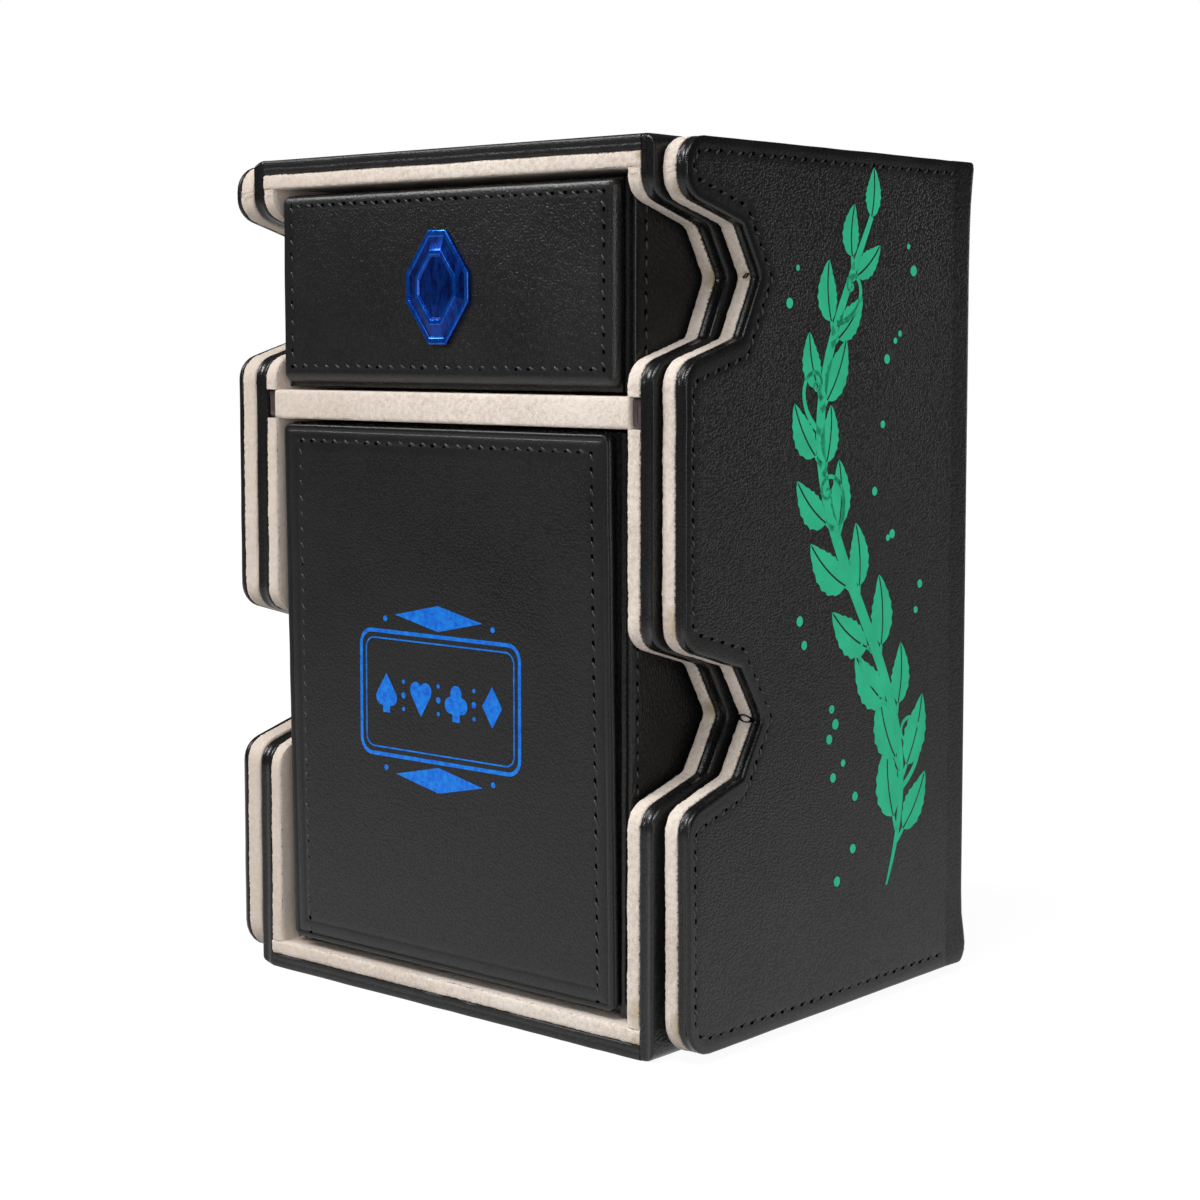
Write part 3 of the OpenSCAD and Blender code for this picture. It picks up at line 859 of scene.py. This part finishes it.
def bead(segments, rings, material, shape):
    """A ball whose points are moved by shape, for the seams to copy."""
    ball = made(
        bpy.ops.mesh.primitive_uv_sphere_add, "bead", segments=segments, ring_count=rings,
        radius=1,
    )
    ball.data.materials.append(material)
    for vertex in ball.data.vertices:
        vertex.co = Vector(shape(*vertex.co)) / 1000
    bpy.ops.object.shade_smooth()
    return ball


stitch = bead(7, 6, thread_black, lambda x, y, z: (
    z * 0.8, y * 0.22 * (1 - 0.35 * z * z), x * 0.19 + 0.03 - 0.2 * z ** 4,
))
hole = bead(8, 5, hole_shade_black, lambda x, y, z: (x * 0.54, y * 0.36, z * 0.05))


def joined(name, pieces):
    """Makes one piece of several, with its place in its mesh."""
    bpy.ops.object.select_all(action="DESELECT")
    for piece in pieces:
        piece.select_set(True)
    bpy.context.view_layer.objects.active = pieces[0]
    bpy.ops.object.join()
    bpy.ops.object.transform_apply(location=True, rotation=True, scale=True)
    whole = bpy.context.object
    whole.name = whole.data.name = name
    return whole


STITCH = 3.0  # length of a stitch


def seam(name, path, out, slant=0.6, ends=True):
    """A row of stitches along a path of points in millimetres. The outward direction
    of the leather is out, or what out gives for a point."""
    path = [Vector(point) for point in path]
    steps = [0.0]
    for a, b in zip(path, path[1:]):
        steps.append(steps[-1] + (b - a).length)
    count = max(1, round(steps[-1] / STITCH))
    step = steps[-1] / count
    dice = random.Random(name)

    def along(distance):
        distance = min(max(distance, 0), steps[-1])
        for i in range(len(path) - 1):
            if distance <= steps[i + 1] or i == len(path) - 2:
                share = (distance - steps[i]) / max(1e-9, steps[i + 1] - steps[i])
                return path[i].lerp(path[i + 1], share)

    bits = []
    for k in range(count + 1):
        for unit, mark, aside_by in ((hole, k * step, 0), (stitch, k * step + 0.85, 0.12)):
            if not ends and k in (0, count) or unit is stitch and k == count:
                continue
            here = along(mark)
            ahead = (along(mark + 0.6) - along(mark - 0.6)).normalized()
            up = out(here) if callable(out) else Vector(out)
            aside = up.cross(ahead).normalized()
            turn = Matrix.Rotation(
                (slant if unit is stitch else 0.3 * slant) + dice.uniform(-0.15, 0.15), 3, up
            )
            ahead, across = turn @ ahead, turn @ aside
            here = here + aside * (aside_by + dice.uniform(-0.07, 0.07))
            bit = unit.copy()
            bit.data = unit.data.copy()
            bpy.context.scene.collection.objects.link(bit)
            frame_of_bit = Matrix((ahead, across, up)).transposed() * dice.uniform(0.85, 1.12)
            bit.matrix_world = Matrix.Translation(spot(*here)) @ frame_of_bit.to_4x4()
            bits.append(bit)
    row = joined(name, bits)
    return row


seam_moves = [
    flap_sides[i](2.5, 2.5) if i in flap_sides else 2.5 for i in range(len(flap_corners))
]
seam_moves[1] = 0
points, owners = rounded_outline(flap_corners, seam_moves, side_counts(flap_corners, 1.5), 0.5)
first = owners.index(("corner", 2))
last = owners.index(("corner", 1))
flap_path = points[first:] + points[:last + 1]
for hand, sign in HANDS:
    face = 58 if hand == "right" else 58.5
    path = [(sign * (face - 0.05), p.x, p.y) for p in flap_path]
    stitches = seam(f"{hand}_flap_seam", path, (sign, 0, 0), slant=sign * 0.6)
    if hand == "right":
        drawn_in(stitches)
    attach(stitches, f"{hand}_flap")
BEND_X, BEND_Y, BEND_R = 55.4, 85.4, 2.5  # middle and radius of a spine's bend
for row, z in (("top", 157.2), ("bottom", 4.5)):
    path = [(FLAP_IN, 87.95, z), (-FLAP_IN, 87.95, z)]
    stitches = seam(f"jacket_{row}_seam", path, (0, 1, 0))
    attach(stitches, "case")
    for hand, sign in HANDS:
        bend = [(sign * 57.9, FLAP_BACK, z), (sign * 57.9, BEND_Y, z)]
        for k in range(1, 6):
            angle = k * math.pi / 12
            bend.append((
                sign * (BEND_X + BEND_R * math.cos(angle)), BEND_Y + BEND_R * math.sin(angle), z,
            ))
        bend += [(sign * BEND_X, 87.9, z), (sign * FLAP_IN, 87.9, z)]
        stitches = seam(
            f"{hand}_spine_{row}_seam", bend,
            lambda p: Vector((
                (max(0, sign * p.x - BEND_X) + 1e-3) * sign, max(0, p.y - BEND_Y) + 1e-3, 0,
            )).normalized(),
            ends=False,
        )
        bends(stitches)

# ---- Drawers ----
# Both drawers are trays of leather-covered boards with a padded front panel
# glued to the front wall. The panel's leather is turned over its edges and
# stitched; the side walls have a seam down their front edges.
drawer_leather = leather(
    "drawer_leather", 0.46, (1.15, 1, 0.8), 0.85, 0.34, fade=((0.5, 0, 1), 0.06, 0.15)
)
wall_leather = leather("drawer_wall_leather", 0.55, (1, 1.2, 0.6))


def panel_edge(t):
    """The panel's leather is turned to a thin lip behind its front roll."""
    return [
        (1.0, 0), (0.62, 0), (0.46, 0.3), (0.3, 0.75), (0.1, 1.15), (0.01, 1.45), (0.08, 1.75),
        (0.28, 1.95), (0.12, 2.15), (0, 2.35), (0.06, t - 0.2), (0.22, t - 0.04),
        (0.5, t + 0.01), (1.05, t),
    ]


def rolled_edge(t):
    """The upper panel's leather goes over its edge in one broad roll."""
    return [
        (1.0, 0), (0.62, 0), (0.46, 0.25), (0.3, 0.5), (0.1, 0.75), (0.01, 0.95), (0.03, 1.2),
        (0.12, 1.5), (0.28, 1.8), (0.5, 2.1), (0.8, 2.37), (1.1, t - 0.24), (1.5, t - 0.1),
        (1.9, t - 0.03),
    ]


def drawn_tight(inset, height):
    """The panel's far and top edges are turned over more sharply."""
    return 0.45 * inset if inset < 1 else 0.45 + 1.6 * (inset - 1) if inset < 2 else inset + 0.05


def wall_edge(t):
    """The wall's leather bulges between its turned edge and its seam."""
    return turned_edge(t)[:-1] + [(0.9, t + 0.03), (1.4, t + 0.04), (2.0, t), (2.6, t - 0.08)]


drawers = (
    (
        "upper", 0, 116, 154, 44.4, 3.1, 2.75, 2.3,
        slab(-42.9, 42.3, 117.3, 153.1, 1.5),
        [(-40.0, 120.3), (39.8, 120.3), (39.8, 150.9), (-40.0, 151.2), (-40.0, 120.3)],
    ),
    (
        "lower", 0.8, 6, 110, 43.6, 3.0, 1.6, 3.6,
        [(-42.0, 7.3, 1.5), (41.4, 7.3, 1.5), (39.9, 109.1, 1.5), (-43.75, 109.1, 1.5)],
        [(-37.4, 8.5), (-38.8, 105.9), (36.2, 105.9), (37.75, 8.5)],
    ),
)
for (
    row, recess, low, high, wall_half, wall_y, wall_seam, seam_in, panel_corners, seam_line,
) in drawers:
    body = f"{row}_drawer"
    inner = wall_half - 2.6
    floor_z, rim_z = low + 0.3, high - 0.6
    front_y, back_y = recess + 2.8, 78.4
    if row == "upper":
        profile = rolled_edge(2.8) + hemmed_face(2.8, seam_in)[16:]
        tight_sides = {2: drawn_tight, 3: drawn_tight}
    else:
        profile = panel_edge(2.8) + hemmed_face(2.8, seam_in, crease=True)[14:]
        tight_sides = {}
    panel = board(
        f"{row}_front_leather", panel_corners, profile, facing("front", front_y), tight_sides,
        shake=0.06, gloss=0.8,
    )
    dressed(panel, drawer_leather, body, f"{row}_front_cover", f"{row}_front_board")
    for k, (a, b) in enumerate(zip(seam_line, seam_line[1:])):
        upright = abs(a[0] - b[0]) < 3
        stitches = seam(
            f"{row}_front_seam_{k}", [(u, recess + 0.05, v) for u, v in (a, b)], (0, -1, 0),
            slant=0.6 if upright else -0.5,
        )
        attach(stitches, body)
    for hand, sign in HANDS:
        wall = board(
            f"{row}_{hand}_wall_leather", slab(wall_y, back_y, floor_z, rim_z),
            wall_edge(2.6), facing(hand, inner), shake=0.06,
        )
        dressed(wall, wall_leather, body, f"{row}_{hand}_wall")
        x, y = sign * (wall_half + 0.02), wall_y + wall_seam
        stitches = seam(
            f"{row}_{hand}_wall_seam", [(x, y, rim_z - 1.5), (x, y, floor_z + 1.5)],
            (sign, 0, 0), slant=0.15,
        )
        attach(stitches, body)
    for name, y, inward in (("front", front_y, "back"), ("back", back_y, "front")):
        wall = board(
            f"{row}_{name}_wall_leather", slab(-inner, inner, floor_z, rim_z),
            turned_edge(2.6), facing(inward, y), {1: butted, 3: butted}, step=2, shake=0.05,
        )
        dressed(wall, wall_leather, body, f"{row}_{name}_wall")
    floor = board(
        f"{row}_floor_leather", slab(-inner, inner, front_y + 2.6, back_y - 2.6),
        turned_edge(2.6), facing("bottom", floor_z + 2.6), {side: butted for side in range(4)},
        step=3,
    )
    dressed(floor, wall_leather, body, f"{row}_floor")
    finish_node(f"{row}_liner", beige_suede)


# A hair of waxed thread stands in a loop where the seam turns at the lower
# notch of the right flap, and another crosses the upper one.
for name, at, tilt, length in (
    ("lower_notch_thread", (54.2, 21.8, 58.4), 0.06, 1.5),
    ("upper_notch_thread", (54.2, 21.4, 136.6), -0.5, 0.6),
):
    loop = made(
        bpy.ops.mesh.primitive_torus_add, name, major_segments=28, minor_segments=6,
        major_radius=1, minor_radius=0.22,
    )
    # The loops take the same flat black as the holes' painted shade.
    loop.data.materials.append(hole_shade_black)
    turned = Matrix.Rotation(tilt, 3, "Y")
    for vertex in loop.data.vertices:
        x, y, z = vertex.co
        sag = 0.15 * math.sin(3 * x)
        hair = turned @ Vector((x * length, -z - sag, y * length * 0.4))
        vertex.co = spot(*(Vector(at) + hair))
    bpy.ops.object.shade_smooth()
    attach(loop, "right_flap")

for pattern in (stitch, hole):
    bpy.data.objects.remove(pattern)

# ---- Badge ----
# A cast lozenge in blue metallic lacquer, faceted like a cut stone, with a
# bright line round its rim and round its raised middle. It is glued on.


def lacquer(name, dark, light, rough):
    """Blue lacquer over metal, with streaks that run up and down."""
    return grained(
        name, (900, 4, 0.65), (0.35, dark, 0.65, light), rough, (0.06, 0.0002),
        drawn=(1, 1, 0.35),
        more={"Metallic": 0.85, "Coat Weight": 0.3, "Coat Roughness": 0.08},
    )


lozenge = [
    (-2.2, -10.5), (2.2, -10.5), (8, -2.7), (8, 2.7), (2.2, 10.5), (-2.2, 10.5), (-8, 2.7),
    (-8, -2.7),
]
cuts = [
    (1.0, -0.05), (1.0, 0.5), (0.975, 0.72), (0.89, 0.72), (0.86, 0.5), (0.66, 0.98),
    (0.64, 1.14), (0.57, 1.14), (0.53, 0.7), (0.3, 1.05), (0.26, 1.05), (0.06, 0.82),
]
rings = [
    [spot(share * u, -height, 135 + share * v) for u, v in lozenge] for share, height in cuts
]
badge = lofted("badge_stone", rings)
bpy.ops.object.modifier_add(type="BEVEL")
bevel = badge.modifiers[0]
bevel.width = 0.00007
bevel.segments = 2
bevel.limit_method = "ANGLE"
bevel.angle_limit = math.radians(8)
bpy.ops.object.modifier_apply(modifier=bevel.name)
bpy.ops.object.shade_smooth_by_angle(angle=math.radians(8))
dressed(
    badge, lacquer("badge_blue", (0.0, 0.01, 0.14), (0.0, 0.07, 0.5), (0.2, 0.34)),
    "upper_drawer", "upper_badge", slot="badge_blue",
)
badge.data.materials.append(
    lacquer("badge_line", (0.0, 0.09, 0.7), (0.01, 0.2, 1.0), (0.12, 0.25))
)
for face in badge.data.polygons:
    height = FRONT_Y - face.center.y * 1000
    if face.normal.y < -0.75 and (0.66 < height < 0.73 or height > 1.08):
        face.material_index = 1

# ---- Stamped foil on the lower drawer ----
# Four card suits in a double frame, stamped into the leather with blue foil.
FILM = (-0.02, 0.03)  # heights between which foil and ink lie


def cut_out(outline, place):
    """A thin flat shape, from the outline of its edge in millimetres."""
    return lofted("film", [[place(u, v, h) for u, v in outline] for h in FILM])


def ring_shape(outer, inner, place):
    """A thin flat frame between two outlines of as many points."""
    low, high = FILM
    turns = ((outer, low), (outer, high), (inner, high), (inner, low), (outer, low))
    return lofted("film", [[place(u, v, h) for u, v in line] for line, h in turns], closed=True)


def reach(parts, count=48):
    """The outline round a union of discs (u, v, radius) and convex shapes, as seen
    from its middle, which is inside it."""
    outline = []
    for k in range(count):
        ray = Vector((math.cos(2 * math.pi * k / count), math.sin(2 * math.pi * k / count)))
        far = 0.0
        for part in parts:
            if isinstance(part[0], tuple):
                inside, near, end = True, 0.0, 1e9
                for a, b in zip(part, part[1:] + part[:1]):
                    side = Vector((b[1] - a[1], a[0] - b[0]))
                    slope, gap = side.dot(ray), side.dot(Vector(a))
                    if abs(slope) < 1e-9:
                        inside = inside and gap >= 0
                    elif slope > 0:
                        end = min(end, gap / slope)
                    else:
                        near = max(near, gap / slope)
                if inside and near <= end:
                    far = max(far, end)
            else:
                middle = Vector(part[:2])
                along = ray.dot(middle)
                rest = part[2] ** 2 - middle.length_squared + along ** 2
                if rest > 0:
                    far = max(far, along + math.sqrt(rest))
        outline.append((ray.x * far, ray.y * far))
    return outline


stem = ((-0.25, 0.0), (-0.95, -2.6), (0.95, -2.6), (0.25, 0.0))
suits = {
    "spade": reach([
        (-1.02, -0.55, 1.1), (1.02, -0.55, 1.1), ((0, 2.7), (-1.95, 0.05), (0, -1.0), (1.95, 0.05)),
        stem,
    ]),
    "heart": reach([
        (-0.98, 0.9, 1.15), (0.98, 0.9, 1.15), ((-1.98, 0.3), (0, -2.6), (1.98, 0.3), (0, 1.3)),
    ]),
    "club": reach([(0, 1.1, 1.1), (-1.12, -0.45, 1.1), (1.12, -0.45, 1.1), stem]),
    "diamond": reach([((0, 2.7), (-1.9, 0), (0, -2.7), (1.9, 0))], 24),
}
foil_blue = grained(
    "foil_blue", (900, 3, 0.6), (0.3, (0.0, 0.13, 0.8), 0.7, (0.006, 0.3, 1.0)), (0.2, 0.5),
    pebble=(0.72, (1.15, 1, 0.85), 0.35), more={"Metallic": 0.35},
)
disc = reach([(0, 0, 1)], 12)


def on_panel(u, v, h):
    return spot(-1.5 + u, 0.8 - h, 58.5 + v)


def dot(u, v, size, place):
    return cut_out([(u + p * size, v + q * size) for p, q in disc], place)


stamps = []
for k, suit in enumerate(("spade", "heart", "club", "diamond")):
    shape = [(1.32 * u - 13.8 + 9.2 * k, 1.42 * v) for u, v in suits[suit]]
    stamps.append(cut_out(shape, on_panel))
for k in (-1, 0, 1):
    for v, size in ((-2.6, 0.42), (0, 0.6), (2.6, 0.42)):
        stamps.append(dot(9.2 * k, v, size, on_panel))


def frame_line(half_w, half_h, r):
    corners = slab(-half_w, half_w, -half_h, half_h, r)
    return [tuple(p) for p in rounded_outline(corners, [0] * 4, [10] * 4)[0]]


for w, h, r, line in ((21, 12.2, 3.2, 0.75), (19.4, 10.6, 2.2, 0.3)):
    stamps.append(ring_shape(
        frame_line(w, h, r), frame_line(w - line, h - line, r - line), on_panel,
    ))
for v in (15.2, -15.2):
    stamps.append(cut_out([(p * 6, q * 0.9 + v) for p, q in suits["diamond"]], on_panel))
    for u in (-14, 14):
        stamps.append(dot(u, v * 0.94, 0.55, on_panel))
stamp = joined("lower_front_foil", stamps)
dressed(stamp, foil_blue, "lower_drawer", slot="foil_blue")

# ---- Printed vine on the right flap ----
# A climbing vine with paired leaves, tendrils and berries, printed flat in
# green ink, so that the grain of the leather shows through it.
print_green = grained(
    "print_green", (160, 3), (0.3, (0.034, 0.74, 0.38), 0.7, (0.045, 0.88, 0.47)), 0.55,
    pebble=(0.72, (1, 0.8, 1.1), 0.15), more={"Specular IOR Level": 0.3},
)
printed = []
on_flap = facing("right", 58)


def strip(left, right):
    """A thin strip of ink between two lines of as many points."""
    low, high = FILM
    printed.append(lofted("film", [
        [on_flap(*p, low), on_flap(*p, high), on_flap(*q, high), on_flap(*q, low)]
        for p, q in zip(left, right)
    ]))


def across(points, k):
    """The direction square to a line of points, at its point number k."""
    ahead = (points[min(k + 1, len(points) - 1)] - points[max(k - 1, 0)]).normalized()
    return Vector((-ahead.y, ahead.x))


def ribbon(points, widths):
    """A line of ink that follows points and swells and tapers by widths."""
    left = [p + across(points, k) * widths[k] / 2 for k, p in enumerate(points)]
    right = [p - across(points, k) * widths[k] / 2 for k, p in enumerate(points)]
    strip(left, right)


def bent(start, angle, length, bend, count):
    """Points along a line that starts at an angle and turns by bend in all."""
    here, points = Vector(start), [Vector(start)]
    for k in range(count):
        turn = angle + bend * (k + 0.5) / count
        here = here + Vector((math.cos(turn), math.sin(turn))) * length / count
        points.append(here.copy())
    return points


def leaf(start, angle, length, bend):
    """Two halves of a leaf with the bare midrib between them."""
    rib = bent(start, angle, length, bend, 14)
    for side in (1, -1):
        near, edge = [], []
        for k, here in enumerate(rib):
            t = k / 14
            full = 0.25 * length * math.sin(math.pi * t ** 0.75) * (1.1 if side > 0 else 0.9)
            scallop = 1 - 0.12 * (k % 2) * (1 if 2 < k < 12 else 0)
            aside = across(rib, k) * side
            near.append(here + aside * (0.2 if t < 1 else 0.05))
            edge.append(here + aside * (0.25 + full * scallop if t < 1 else 0.08))
        strip(near, edge)


def curl(start, angle, size, hand):
    """A tendril that tightens to a coil."""
    here, turn, points = Vector(start), angle, [Vector(start)]
    for k in range(30):
        turn += hand * (0.05 + 0.019 * k)
        here = here + Vector((math.cos(turn), math.sin(turn))) * size * (1 - k / 36) / 9
        points.append(here.copy())
    ribbon(points, [1.15 - 0.027 * k for k in range(31)])


vine = []
for k in range(65):
    t = k / 64
    sway = 12.5 * math.sin(2 * math.pi * (0.95 * t + 0.1))
    vine.append(Vector((54 - 3 * t + sway, 22 + 126 * t)))
ribbon(vine, [
    0.5 + 2.3 * math.sin(math.pi * (0.06 + 0.94 * (1 - k / 64))) ** 0.7 for k in range(65)
])


def vine_angle(k):
    heading = vine[k + 1] - vine[k - 1]
    return math.atan2(heading.y, heading.x)


dice = random.Random("vine")
for k in range(4, 62, 6):
    angle = vine_angle(k)
    for side in (1, -1):
        room = 1 - 0.3 * (k / 64)
        spread = side * dice.uniform(0.72, 0.92)
        stalk = bent(vine[k + (side > 0)], angle + spread, 3.4 * room, -0.3 * side, 6)
        ribbon(stalk, [1.3, 1.2, 1.05, 0.95, 0.85, 0.8, 0.7])
        leaf(stalk[-1], angle + spread * 0.8, dice.uniform(12.5, 16) * room, -0.5 * side)
leaf(vine[-1], 1.3, 9, 0.4)
for k, hand, side in ((9, 1, -1), (19, -1, 1), (34, 1, -1), (44, -1, 1), (54, 1, -1)):
    curl(vine[k], vine_angle(k) + side, 15 - 0.08 * k, hand)
for k in range(34):
    here = vine[dice.randrange(2, 62)] + Vector((
        dice.choice((-1, 1)) * dice.uniform(15, 22), dice.uniform(-4, 4),
    ))
    if 27 < here.x < 79:
        size = dice.uniform(0.5, 1.05)
        printed.append(dot(here.x, here.y, size, on_flap))
vine_print = joined("right_flap_print", printed)
drawn_in(vine_print)
dressed(vine_print, print_green, "right_flap", slot="print_green")
